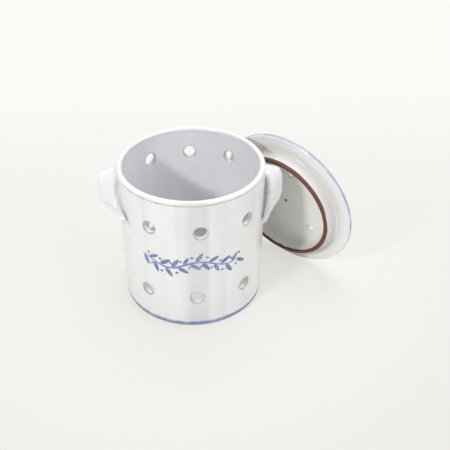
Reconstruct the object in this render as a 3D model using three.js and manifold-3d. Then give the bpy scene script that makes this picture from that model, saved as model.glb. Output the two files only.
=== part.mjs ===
// Onion keeper: a thrown and glazed earthenware pot with air holes, two pulled handles and a loose lid.
// Millimetres, +Z up. The pot stands on Z = 0 with its axis on Z, its handles along X and its front towards -Y.
// The lid is off the pot: it stands on its edge behind the right handle, underside forward, and leans on the pot.

import * as THREE from 'three';
import { mergeVertices } from 'three/addons/utils/BufferGeometryUtils.js';
import Module from 'manifold-3d';

// Pot wall, floor and foot
const potRadius = 90;
const potHeight = 187;
const wallThickness = 7;
const floorThickness = 8;
const footTuckIn = 1; // how much narrower the pot is at the foot than at the wall
const footTaperHeight = 34; // height over which the wall widens to its full radius
const footRounding = 2;
const insideCornerRadius = 10;

// Lip and the finger-width band of throwing lines below it
const lipHeight = 5;
const lipGrooveDepth = 0.9;
const lipGrooveHeight = 1.4;
const bandHeight = 11;
const bandInset = 0.5;

// Air holes: an upper and a lower row on the front and on the back, none under the handles.
// They were cut by eye, so each row has its own middle and spacing, in degrees round the pot.
const holeDiameter = 16;
const holeEdgeSoftening = 1.4;
const holesPerRow = 3;
const holeRows = [
  { middle: -86, spacing: 40.2, height: potHeight - 43.4 },
  { middle: -89.7, spacing: 41.5, height: 47.1 },
  { middle: 89.3, spacing: 38, height: potHeight - 35 },
  { middle: 90, spacing: 39, height: 49 },
];

// Pulled handles: wide straps that leave the wall level under the lip, turn down, and come back to it
// with a narrow tail that is pressed on nearer the front
const handleRootWidth = 20;
const handleRootThickness = 8;
const handleMiddleWidth = 28.5;
const handleMiddleThickness = 11;
const handleTailWidth = 17;
const handleTailThickness = 7;
const handleBendRadius = 7.5;
const handleRootDepth = 8; // how far a handle's untrimmed ends run into the wall
const handleTailSlope = 0.3; // how much further forward the pressed tail gets for each millimetre down
const handleMiddleStart = 0.25; // shares of the strap's length between which it is thick and wide
const handleMiddleEnd = 0.52;
const handleTailStart = 0.88; // and from which it has the tail's size

// The two were put on by eye, so each has its own measures: from the lip down to the strap's middle line
// at its root and at its tail's end, from the root down to where it turns back, the length of the tail
// that is pressed on, the way forward to the tail's end, the strap's distance from the wall, and the
// twist in degrees that faces it to the front
const rightHandle = {
  azimuth: 0,
  rootBelowLip: 19,
  tailBelowLip: 72,
  outerDrop: 31,
  pressedLength: 4,
  tailLean: 32,
  reach: 6.6,
  twist: 42,
};
const leftHandle = {
  azimuth: 180,
  rootBelowLip: 15,
  tailBelowLip: 56,
  outerDrop: 26.5,
  pressedLength: 12,
  tailLean: 41,
  reach: 6,
  twist: 53,
};

// Lid: a flat plate with a flange that covers the rim and a collar that drops into the mouth
const lidRadius = 99.5;
const lidThickness = 6.5;
const lidRise = 3.5; // how much higher the middle of the plate is than its edge
const collarHeight = 17.5;
const collarOuterRadius = 76;
const collarThickness = 6.3;
const collarRootRounding = 5;
const flangeDip = 1.2; // how far the flange's underside is raised at the collar, a channel for the rim
const lidPlateThickness = 9.6; // in the middle, inside the collar
const lidHoleDiameter = 10;
const lidHoleCircleRadius = 49;
const lidHoleCount = 3;
const lidHoleTurn = 99.5; // degrees from the lid's own X to its first hole
const ventHoleDiameter = 2.6; // lets the hollow knob breathe in the kiln

// Knob: thrown hollow, open at its base over the vent hole
const knobBaseRadius = 13;
const knobNeckRadius = 10.5;
const knobHeadRadius = 18;
const knobHeight = 29;
const knobWall = 4;
const knobFlattening = 0.55; // height of the head as a share of a ball's
const knobUndercut = -35; // degrees below the head's widest line at which the neck starts
const knobNeckShare = 0.4; // height of the neck's narrowest place, of the way up to the head's middle

// Place of the lid beside the pot
const lidFacing = -134.5; // direction in which its underside looks, in degrees from X
const lidLean = 8.8; // degrees from upright
const lidSideShift = 63.7; // from the pot's axis, across the direction in which it looks
const lidSettling = 0.1673; // how much closer the lid comes because the round shapes have flat faces
const restingGap = 0.3; // between parts that touch

// Fineness of the round shapes
const potSegments = 64;
const lidSegments = 64;
const knobSegments = 36;
const holeSegments = 20;
const handleRings = 26;
const handleSectionPoints = 14;

const wasm = await Module();
wasm.setup();

const degrees = THREE.MathUtils.degToRad;

// A closed solid from any closed geometry
function solid(geometry) {
  const bare = geometry.index ? geometry.clone() : geometry;
  bare.deleteAttribute('normal');
  bare.deleteAttribute('uv');
  const merged = mergeVertices(bare, 1e-4);
  return new wasm.Manifold(new wasm.Mesh({
    numProp: 3,
    vertProperties: new Float32Array(merged.attributes.position.array),
    triVerts: new Uint32Array(merged.index.array),
  }));
}

// The solid as a geometry that a mesh can show
function geometryOf(body) {
  const mesh = body.getMesh();
  const geometry = new THREE.BufferGeometry();
  geometry.setAttribute('position', new THREE.BufferAttribute(new Float32Array(mesh.vertProperties), 3));
  geometry.setIndex(new THREE.BufferAttribute(new Uint32Array(mesh.triVerts), 1));
  geometry.computeVertexNormals();
  return geometry;
}

// Points of an arc in a turning profile, from one angle to another in degrees
function arcPoints(centreRadius, centreHeight, radius, fromAngle, toAngle, steps) {
  const points = [];
  for (let i = 0; i <= steps; i += 1) {
    const angle = degrees(fromAngle + (toAngle - fromAngle) * i / steps);
    points.push(new THREE.Vector2(centreRadius + radius * Math.cos(angle), centreHeight + radius * Math.sin(angle)));
  }
  return points;
}

// A solid of revolution about Z from a profile that starts and ends on the axis or closes on itself
function turned(profile, segments) {
  const geometry = new THREE.LatheGeometry(profile, segments);
  geometry.rotateX(Math.PI / 2);
  return solid(geometry);
}

function glaze(colour, roughness) {
  return new THREE.MeshStandardMaterial({ color: colour, roughness, metalness: 0 });
}

// The pot's outer outline from the foot to the top of the lip
function potOutline() {
  const footRadius = potRadius - footTuckIn;
  const grooveTop = potHeight - lipHeight;
  const grooveBottom = grooveTop - lipGrooveHeight;
  const bandBottom = grooveBottom - bandHeight;
  const lipRadius = wallThickness / 2;
  const lipCentre = potHeight - lipRadius;
  return [
    ...arcPoints(footRadius - footRounding, footRounding, footRounding, -90, 0, 4),
    new THREE.Vector2(potRadius - footTuckIn / 3, footTaperHeight / 2),
    new THREE.Vector2(potRadius, footTaperHeight),
    new THREE.Vector2(potRadius, bandBottom),
    new THREE.Vector2(potRadius - bandInset, bandBottom + bandInset),
    new THREE.Vector2(potRadius - bandInset, grooveBottom),
    new THREE.Vector2(potRadius - lipGrooveDepth, (grooveTop + grooveBottom) / 2),
    new THREE.Vector2(potRadius, grooveTop),
    ...arcPoints(potRadius - lipRadius, lipCentre, lipRadius, 0, 90, 4),
  ];
}

// The inside of the pot from the lip down to the middle of the floor
function potInside() {
  const innerRadius = potRadius - wallThickness;
  const lipRadius = wallThickness / 2;
  const lipCentre = potHeight - lipRadius;
  const cornerHeight = floorThickness + insideCornerRadius;
  return [
    ...arcPoints(potRadius - lipRadius, lipCentre, lipRadius, 112.5, 180, 3),
    ...arcPoints(innerRadius - insideCornerRadius, cornerHeight, insideCornerRadius, 0, -90, 4),
    new THREE.Vector2(0, floorThickness),
  ];
}

// A round cutter through the wall, wider at both faces so that the hole's edges are soft
function holeCutter(height, azimuth) {
  const radius = holeDiameter / 2;
  const outside = potRadius;
  const inside = potRadius - wallThickness;
  const margin = 2;
  const wide = radius + holeEdgeSoftening + margin;
  const profile = [
    new THREE.Vector2(0, inside - margin),
    new THREE.Vector2(wide, inside - margin),
    new THREE.Vector2(radius, inside + holeEdgeSoftening),
    new THREE.Vector2(radius, outside - holeEdgeSoftening),
    new THREE.Vector2(wide, outside + margin),
    new THREE.Vector2(0, outside + margin),
  ];
  const geometry = new THREE.LatheGeometry(profile, holeSegments);
  geometry.rotateZ(-Math.PI / 2);
  geometry.rotateZ(degrees(azimuth));
  geometry.translate(0, 0, height);
  return solid(geometry);
}

function makePotBody() {
  const profile = [new THREE.Vector2(0, 0), ...potOutline(), ...potInside()];
  let body = turned(profile, potSegments);
  for (const row of holeRows) {
    for (let i = 0; i < holesPerRow; i += 1) {
      const azimuth = row.middle + (i - (holesPerRow - 1) / 2) * row.spacing;
      body = body.subtract(holeCutter(row.height, azimuth));
    }
  }
  return geometryOf(body);
}

// Which way the front lies for a strap that is modelled along +X and turned to its azimuth afterwards
function frontSide(handle) {
  return Math.cos(degrees(handle.azimuth)) > 0 ? -1 : 1;
}

// Middle line of a handle's strap, outward along X, before it is trimmed to the wall
function handlePath(handle) {
  const deep = potRadius - handleRootDepth;
  const far = potRadius + handle.reach + handleMiddleThickness / 2;
  const onWall = potRadius + handleTailThickness / 2;
  const bend = handleBendRadius;
  const top = potHeight - handle.rootBelowLip;
  const corner = top - handle.outerDrop;
  const tail = potHeight - handle.tailBelowLip;
  const landing = tail + handle.pressedLength;
  const landingLean = 1 - handleTailSlope * handle.pressedLength / handle.tailLean;

  // Distance from the pot's axis, share of the tail's lean, and height
  const points = [
    [deep, 0, top],
    [far - bend, 0, top],
    [far - bend * 0.3, 0.05, top - bend * 0.3],
    [far, 0.2, top - bend],
    [far - bend * 0.1, 0.6, corner + bend * 0.4],
    [THREE.MathUtils.lerp(far, onWall, 0.65), 0.8, (corner + landing) / 2],
    [onWall, landingLean, landing],
    [onWall - 1, 0.97, tail + 3],
    [deep, 1, tail - 2],
  ];
  const vectors = points.map(([radius, leanShare, height]) => {
    const forward = leanShare * handle.tailLean;
    return new THREE.Vector3(Math.sqrt(radius ** 2 - forward ** 2), frontSide(handle) * forward, height);
  });
  return new THREE.CatmullRomCurve3(vectors, false, 'centripetal');
}

// A value along the strap: from the root to the middle, and from there to the tail
function alongStrap(share, root, middle, tail) {
  const toMiddle = THREE.MathUtils.smoothstep(share, 0, handleMiddleStart);
  const toTail = THREE.MathUtils.smoothstep(share, handleMiddleEnd, handleTailStart);
  return root + (middle - root) * toMiddle + (tail - middle) * toTail;
}

// Direction of the strap's width: along the wall at both ends, turned by the handle's twist in between
function strapAcross(handle, share) {
  const tailTurn = Math.asin(handle.tailLean / potRadius);
  const turn = alongStrap(share, 0, degrees(handle.twist), tailTurn);
  return new THREE.Vector3(-frontSide(handle) * Math.sin(turn), Math.cos(turn), 0);
}

// A strap of rounded section along the handle's path
function strapGeometry(handle) {
  const path = handlePath(handle);
  const squareness = 0.7; // 1 is an oval, 0 a rectangle
  const positions = [];
  const indices = [];
  for (let ring = 0; ring < handleRings; ring += 1) {
    const along = ring / (handleRings - 1);
    const centre = path.getPointAt(along);
    const acrossStrap = strapAcross(handle, along);
    const halfWidth = alongStrap(along, handleRootWidth, handleMiddleWidth, handleTailWidth) / 2;
    const halfThickness = alongStrap(along, handleRootThickness, handleMiddleThickness, handleTailThickness) / 2;
    const outward = new THREE.Vector3().crossVectors(acrossStrap, path.getTangentAt(along)).normalize();
    for (let i = 0; i < handleSectionPoints; i += 1) {
      const angle = 2 * Math.PI * i / handleSectionPoints;
      const side = Math.sign(Math.cos(angle)) * Math.abs(Math.cos(angle)) ** squareness;
      const rise = Math.sign(Math.sin(angle)) * Math.abs(Math.sin(angle)) ** squareness;
      const point = centre.clone()
        .addScaledVector(acrossStrap, side * halfWidth)
        .addScaledVector(outward, rise * halfThickness);
      positions.push(point.x, point.y, point.z);
    }
  }
  for (let ring = 0; ring < handleRings - 1; ring += 1) {
    for (let i = 0; i < handleSectionPoints; i += 1) {
      const next = (i + 1) % handleSectionPoints;
      const a = ring * handleSectionPoints + i;
      const b = ring * handleSectionPoints + next;
      const c = a + handleSectionPoints;
      const d = b + handleSectionPoints;
      indices.push(a, c, b, b, c, d);
    }
  }
  const last = (handleRings - 1) * handleSectionPoints;
  for (let i = 1; i < handleSectionPoints - 1; i += 1) {
    indices.push(0, i, i + 1);
    indices.push(last, last + i + 1, last + i);
  }
  const geometry = new THREE.BufferGeometry();
  geometry.setAttribute('position', new THREE.Float32BufferAttribute(positions, 3));
  geometry.setIndex(indices);
  return geometry;
}

// The strap trimmed to the wall that it is pressed on
function makeHandle(handle) {
  const wallRadius = potRadius + restingGap;
  const aboveLip = potHeight + lidThickness;
  const trim = turned([
    new THREE.Vector2(0, 0),
    new THREE.Vector2(wallRadius, 0),
    new THREE.Vector2(wallRadius, aboveLip),
    new THREE.Vector2(0, aboveLip),
  ], potSegments);
  const strap = strapGeometry(handle);
  strap.rotateZ(degrees(handle.azimuth));
  return geometryOf(solid(strap).subtract(trim));
}

// Heights on the lid, measured along its axis from the plane of the flange's lower edge
const collarInnerRadius = collarOuterRadius - collarThickness;
const lidTop = lidThickness + lidRise;
const lidPlateUnderside = lidTop - lidPlateThickness;

// The lid's profile: plate and collar from below, then the flange, and the domed top back to the middle
function lidProfile() {
  const edge = lidThickness / 2;
  const collarEdge = collarThickness / 2;
  const rounding = collarRootRounding;
  const flangeUnderside = rounding - flangeDip;
  const dome = (radius, riseShare) => new THREE.Vector2(radius, lidThickness + lidRise * riseShare);
  return [
    new THREE.Vector2(0, lidPlateUnderside),
    new THREE.Vector2(collarInnerRadius / 2, lidPlateUnderside),
    ...arcPoints(collarInnerRadius - rounding, lidPlateUnderside - rounding, rounding, 90, 0, 3),
    ...arcPoints(collarOuterRadius - collarEdge, collarEdge - collarHeight, collarEdge, -180, 0, 6),
    ...arcPoints(collarOuterRadius + rounding, -flangeUnderside, rounding, 180, 90, 3),
    ...arcPoints(lidRadius - edge, edge, edge, -90, 90, 6),
    dome(collarOuterRadius, 0.45),
    dome(collarOuterRadius * 0.6, 0.85),
    dome(knobBaseRadius + 2, 1),
    dome(0, 1),
  ];
}

// A cutter through the whole lid along its axis
function lidCutter(diameter, x, y) {
  const through = 2 * (collarHeight + lidTop);
  const cutter = new THREE.CylinderGeometry(diameter / 2, diameter / 2, through, holeSegments);
  cutter.rotateX(Math.PI / 2);
  cutter.translate(x, y, 0);
  return solid(cutter);
}

function makeLid() {
  let body = turned(lidProfile(), lidSegments).subtract(lidCutter(ventHoleDiameter, 0, 0));
  for (let i = 0; i < lidHoleCount; i += 1) {
    const angle = degrees(lidHoleTurn + 360 * i / lidHoleCount);
    const x = lidHoleCircleRadius * Math.cos(angle);
    const y = lidHoleCircleRadius * Math.sin(angle);
    body = body.subtract(lidCutter(lidHoleDiameter, x, y));
  }
  return geometryOf(body);
}

// Half of the knob's flattened head in profile, from the neck to the axis
function knobHead(radius, middleHeight, steps) {
  const rim = arcPoints(0, 0, radius, knobUndercut, 90, steps);
  const head = rim.map((point) => new THREE.Vector2(point.x, middleHeight + point.y * knobFlattening));
  head[head.length - 1].x = 0;
  return head;
}

function makeLidKnob() {
  const seat = lidTop + restingGap;
  const headMiddle = seat + knobHeight - knobHeadRadius * knobFlattening;
  const neckHeight = seat + (headMiddle - seat) * knobNeckShare;
  const profile = [
    ...knobHead(knobHeadRadius - knobWall, headMiddle, 6).reverse(),
    new THREE.Vector2(knobNeckRadius - knobWall, neckHeight),
    new THREE.Vector2(knobBaseRadius - knobWall, seat),
    new THREE.Vector2(knobBaseRadius, seat),
    new THREE.Vector2(knobNeckRadius, neckHeight),
    ...knobHead(knobHeadRadius, headMiddle, 8),
  ];
  return geometryOf(turned(profile, knobSegments));
}

// Directions of the leaning lid: the way its underside looks, across it and up along it
const looking = new THREE.Vector3(Math.cos(degrees(lidFacing)), Math.sin(degrees(lidFacing)), 0);
const across = new THREE.Vector3(-looking.y, looking.x, 0);
const lean = degrees(lidLean);
const undersideNormal = looking.clone().multiplyScalar(Math.cos(lean)).setZ(-Math.sin(lean));
const upAlongLid = new THREE.Vector3().crossVectors(undersideNormal, across);

// How far behind the pot's axis the lid stands when the rounded tip of its collar rests on the pot's wall:
// the furthest that any point of the circle in the middle of that tip asks for
function lidStandOff() {
  const tip = collarThickness / 2;
  const reach = potRadius + restingGap + tip;
  let furthest = 0;
  for (let turn = 0; turn <= 180; turn += 0.5) {
    const sideways = lidSideShift + (collarOuterRadius - tip) * Math.cos(degrees(turn));
    const forward = (collarOuterRadius - tip) * Math.sin(degrees(turn)) * Math.sin(lean);
    if (Math.abs(sideways) < reach) {
      furthest = Math.max(furthest, forward + Math.sqrt(reach ** 2 - sideways ** 2));
    }
  }
  return furthest + (collarHeight - tip) * Math.cos(lean) - lidSettling;
}

// The lid's centre when it stands on its rounded edge beside the pot
function lidCentre() {
  const edge = lidThickness / 2;
  const height = (lidRadius - edge) * Math.cos(lean) + edge - edge * Math.sin(lean);
  return looking.clone().multiplyScalar(-lidStandOff()).addScaledVector(across, lidSideShift).setZ(height);
}

const potWhite = glaze(0xe9e9e8, 0.22);
const handleWhite = glaze(0xe6e6e6, 0.24);
const lidWhite = glaze(0xe4e4e0, 0.25);

const onionKeeper = new THREE.Group();

function addPart(group, name, geometry, material) {
  const mesh = new THREE.Mesh(geometry, material);
  mesh.name = name;
  group.add(mesh);
}

addPart(onionKeeper, 'pot_body', makePotBody(), potWhite);
addPart(onionKeeper, 'handle_right', makeHandle(rightHandle), handleWhite);
addPart(onionKeeper, 'handle_left', makeHandle(leftHandle), handleWhite);

const lidGroup = new THREE.Group();
const lidUp = undersideNormal.clone().negate();
lidGroup.quaternion.setFromRotationMatrix(new THREE.Matrix4().makeBasis(across.clone().negate(), upAlongLid, lidUp));
lidGroup.position.copy(lidCentre());
addPart(lidGroup, 'lid', makeLid(), lidWhite);
addPart(lidGroup, 'lid_knob', makeLidKnob(), lidWhite);
onionKeeper.add(lidGroup);

export default onionKeeper;
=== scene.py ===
# Onion keeper: a wheel-thrown pot in white tin glaze, its two pulled handles, and the lid that leans on it.
# Metres, +Z up. The pot stands on Z = 0 with its axis on Z and its front towards -Y.

import math

import bmesh
import bpy
import numpy as np
from mathutils import Matrix, Vector


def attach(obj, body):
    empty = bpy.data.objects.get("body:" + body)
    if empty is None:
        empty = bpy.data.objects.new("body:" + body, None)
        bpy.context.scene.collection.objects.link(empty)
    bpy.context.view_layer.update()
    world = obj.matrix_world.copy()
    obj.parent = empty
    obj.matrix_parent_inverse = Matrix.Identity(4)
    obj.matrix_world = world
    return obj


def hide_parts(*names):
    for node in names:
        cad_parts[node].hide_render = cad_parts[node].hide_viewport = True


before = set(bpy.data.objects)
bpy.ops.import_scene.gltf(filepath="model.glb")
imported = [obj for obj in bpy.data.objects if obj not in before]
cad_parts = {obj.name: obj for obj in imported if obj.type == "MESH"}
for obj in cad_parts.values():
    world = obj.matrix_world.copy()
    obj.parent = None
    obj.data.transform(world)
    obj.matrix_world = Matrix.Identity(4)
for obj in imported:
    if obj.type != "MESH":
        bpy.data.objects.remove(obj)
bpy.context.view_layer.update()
mm = 0.001
joinDistance = 0.02 * mm  # points closer than this are one


# An sRGB hex colour as Blender's linear one
def linear(hexColour):
    channels = [int(hexColour[i:i + 2], 16) / 255 for i in (0, 2, 4)]
    return [c / 12.92 if c <= 0.04045 else ((c + 0.055) / 1.055) ** 2.4 for c in channels] + [1.0]


# Adds a node with its settings or input values, and links each input to an output of another node
def node(tree, kind, settings=None, links=None):
    made = tree.nodes.new(kind)
    for key, value in (settings or {}).items():
        if isinstance(key, int) or key in made.inputs:
            made.inputs[key].default_value = value
        else:
            setattr(made, key, value)
    for key, (source, output) in (links or {}).items():
        tree.links.new(source.outputs[output], made.inputs[key])
    return made


# Mesh helpers

def addObject(name, data):
    made = bpy.data.objects.new(name, data)
    bpy.context.scene.collection.objects.link(made)
    return made


def meshObject(name, points, faces, edges=()):
    mesh = bpy.data.meshes.new(name)
    mesh.from_pydata([tuple(p) for p in points], edges, faces)
    return addObject(name, mesh)


# The faces between rings of points, each ring closed on itself
def ringFaces(rings, count):
    faces = []
    for r in range(rings - 1):
        for j in range(count):
            k = (j + 1) % count
            faces.append((r * count + j, r * count + k, (r + 1) * count + k, (r + 1) * count + j))
    return faces


def pointsOf(mesh):
    points = np.empty(len(mesh.vertices) * 3, np.float32)
    mesh.vertices.foreach_get("co", points)
    return points.reshape(-1, 3).astype(float)


def setPoints(mesh, points):
    mesh.vertices.foreach_set("co", np.asarray(points, np.float32).ravel())
    mesh.update()


def addAttribute(mesh, name, kind, values):
    layer = mesh.attributes.new(name, kind, "POINT")
    field = "vector" if kind == "FLOAT_VECTOR" else "value"
    layer.data.foreach_set(field, np.asarray(values, np.float32).ravel())


# Joins doubled points, closes open loops with a fan, and turns the faces outward
def closeUp(mesh):
    shape = bmesh.new()
    shape.from_mesh(mesh)
    bmesh.ops.remove_doubles(shape, verts=shape.verts, dist=joinDistance)
    loops = [e for e in shape.edges if e.is_boundary]
    if loops:
        caps = bmesh.ops.holes_fill(shape, edges=loops, sides=0)["faces"]
        bmesh.ops.poke(shape, faces=caps)
    bmesh.ops.recalc_face_normals(shape, faces=shape.faces)
    shape.to_mesh(mesh)
    shape.free()
    mesh.update()


# How convex the surface is at each point, from 0 to 1: glaze runs thin there
def convexity(mesh, scale):
    points = pointsOf(mesh)
    normals = np.empty(len(points) * 3, np.float32)
    mesh.vertices.foreach_get("normal", normals)
    normals = normals.reshape(-1, 3)
    edges = np.empty(len(mesh.edges) * 2, np.int32)
    mesh.edges.foreach_get("vertices", edges)
    a, b = edges.reshape(-1, 2).T
    step = points[b] - points[a]
    length = np.maximum(np.linalg.norm(step, axis=1), 1e-7)
    total, count = np.zeros(len(points)), np.zeros(len(points))
    for here, sign in ((a, -1), (b, 1)):
        bend = sign * np.einsum("ij,ij->i", step, normals[here]) / length ** 2
        np.add.at(total, here, bend)
        np.add.at(count, here, 1)
    return np.clip(total / np.maximum(count, 1) * scale, 0, 1)


def smoothStep(x, low, high):
    t = np.clip((np.asarray(x, float) - low) / (high - low), 0, 1)
    return t * t * (3 - 2 * t)


# Points of an arc in a profile, angles in degrees
def arc(centre, radius, start, end, steps):
    angles = np.radians(np.linspace(start, end, steps + 1))
    return [(centre[0] + radius * math.cos(t), centre[1] + radius * math.sin(t)) for t in angles]


# Gives a closed piece its glaze, its places on the wheel, its thin edges, smooth shading and a subdivision
def finishPiece(piece, material, body, nodes, place=None, levels=1):
    mesh = piece.data
    mesh.materials.clear()
    mesh.materials.append(material)
    addAttribute(mesh, "wheel", "FLOAT_VECTOR", pointsOf(mesh))
    addAttribute(mesh, "edge", "FLOAT", convexity(mesh, glaze["thinScale"] * mm))
    if place is not None:
        mesh.transform(place)
    mesh.polygons.foreach_set("use_smooth", [True] * len(mesh.polygons))
    mesh.update()
    if levels:
        modifier = piece.modifiers.new("Subdivision", "SUBSURF")
        modifier.levels = levels
        modifier.render_levels = levels
    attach(piece, body)
    if nodes:
        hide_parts(*nodes)


# White tin glaze on red earthenware, thrown, dipped and fired: an opaque, glossy and slightly uneven
# white that breaks warm on sharp edges, and leaves finger rings and a fine orange peel to be seen.
# Shade and reflections are painted into its colour too: in the pot, under the lip, round the lid's
# collar, down the front and on the handles. The attribute "wheel" is each point's place on the
# potter's wheel, so a pattern stays with its piece. Sizes are in mm.
glaze = {
    "white": "f3f2f1",
    "pulled": "e2e1e5",  # painted shade: a greyer white on the handles, which are lit less than the wall
    "milk": "e9e9ea",
    "cloud": "f2f3f4",
    "cloudShare": 0.35,
    "streak": "dfdfdf",  # darker streaks down the upright wall: partly glaze that ran, partly painted reflection
    "streakShare": 0.45,
    "streakStretch": 0.06,  # how fast a streak changes with height, beside its change along the wall
    "run": "d2d3d3",  # a broad greyer band down the front: a painted dark reflection
    "runShare": 0.6,
    "runMiddle": 2.0,
    "runWidth": 34.0,
    "runFront": (-30.0, -50.0),  # Y where it starts and where it is full, and so are the pairs below
    "inside": "e3e4e8",  # in the pot the white is bluer and darker: thicker glaze, and painted shade
    "insideShare": 0.75,
    "insideRadii": (86.8, 83.8),
    "insideFloor": 4.5,  # above this height
    "groove": "9a9088",  # painted shade: a thin grey line in the groove under the lip
    "grooveBottom": (180.0, 180.8),
    "grooveTop": (182.2, 181.4),
    "grooveRadius": 86.8,
    "recessShade": "efefea",  # painted shade: inside the lid's collar a little greener and darker, the colour of its shade
    "recessShadeShare": 0.8,
    "recessRadii": (71.5, 69.0),
    "underside": 3.5,  # the lid's underside lies below this height
    "collarShade": "d0d0cb",  # painted shade: greyer round the collar and on the flange beside it
    "collarShadeShare": 0.8,
    "collarShadeSize": 3.0,  # width of its turns
    "collarShadeInner": (74.5, 75.5),
    "collarShadeOuter": (90.5, 84.0),
    "ventShadeRadii": (1.9, 1.5),  # its bore is bare clay, painted darker still as its shade
    "thin": "9c7a68",
    "thinShare": 1.0,
    "thinFrom": 0.095,  # sharpness of an edge where the glaze begins to thin, and where it is thinnest
    "thinFull": 0.14,
    "thinScale": 1.2,
    "thinTop": 165.0,  # the throwing band above this height is covered well
    "speck": "9a8b7c",  # a few pinholes and specks of half a millimetre
    "speckSpacing": 14.2857,
    "speckRadii": (0.045, 0.028),  # as shares of their spacing
    "speckShare": 0.5,
    "speckless": 0.72,  # share of the places that have none
    "cobalt": "344a94",
    "cobaltPale": "5f75b6",
    "cobaltLeast": 0.7,  # what is left of its share where the brush ran dry
    "clay": "7a4a3c",
    "clayDark": "4f2f27",
    "clayRough": 0.78,
    "clayFade": 0.3,
    "clayWander": 0.5,
    "clayTilt": (20.0, 76.0),  # Y between which the wiped edge climbs
    "footLineTop": 6.6,  # above the ground
    "footLineFade": 1.7,  # over which its upper edge runs out
    "footLineShare": 0.9,
    "footLineWander": 1.2,
    "footLineBottom": (0.3, 0.8),
    "footLineRadius": 85.5,  # none on the underside within this
    "edgeLineFrom": 98.75,  # from the lid's middle
    "edgeLineShare": 0.75,
    "edgeLineFade": 0.4,
    "edgeLineWander": 0.3,
    "sprigShare": 1.0,
    "sprigWander": 0.18,
    "glossRough": 0.12,
    "dullRough": 0.22,
    "ringPitch": 3.2,  # of the finger rings
    "ringBump": (0.5, 0.12),  # strength and depth
    "runBump": (0.5, 0.9),
    "peelBump": (0.35, 0.05),
    "patterns": {  # size of the blobs, detail and roughness
        "patches": (50.0, 3.0, 0.5),
        "clouds": (8.0, 4.0, 0.6),
        "wash": (4.0, 3.0, 0.6),
        "runs": (15.0, 2.0, 0.5),
        "ragged": (10.5, 4.0, 0.6),
        "streaks": (16.0, 2.0, 0.5),
        "peel": (1.5, 2.0, 0.5),
        "grit": (1.1, 4.0, 0.7),
    },
}
sharp = 0.001  # width of a ramp that stands for a sharp end


def newMaterial(name):
    material = bpy.data.materials.new(name)
    material.use_nodes = True
    material.node_tree.nodes.clear()
    return material


# The product of ramps, each given as a value, where it starts and ends, and what it gives there
def ramps(tree, *given):
    product = None
    for value, start, end, *ends in given:
        low, high = ends or (0, 1)
        ramp = node(tree, "ShaderNodeMapRange", {
            "From Min": start,
            "From Max": end,
            "To Min": low,
            "To Max": high,
        }, {"Value": value}), "Result"
        if product:
            ramp = node(tree, "ShaderNodeMath", {"operation": "MULTIPLY"}, {0: product, 1: ramp}), "Value"
        product = ramp
    return product


# A value moved up and down by a pattern, so that what follows it has a ragged edge
def wandering(tree, value, pattern, reach):
    wander = ramps(tree, (pattern, 0.3, 0.7, -reach, reach))
    return node(tree, "ShaderNodeMath", {"operation": "ADD"}, {0: value, 1: wander}), "Value"


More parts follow.
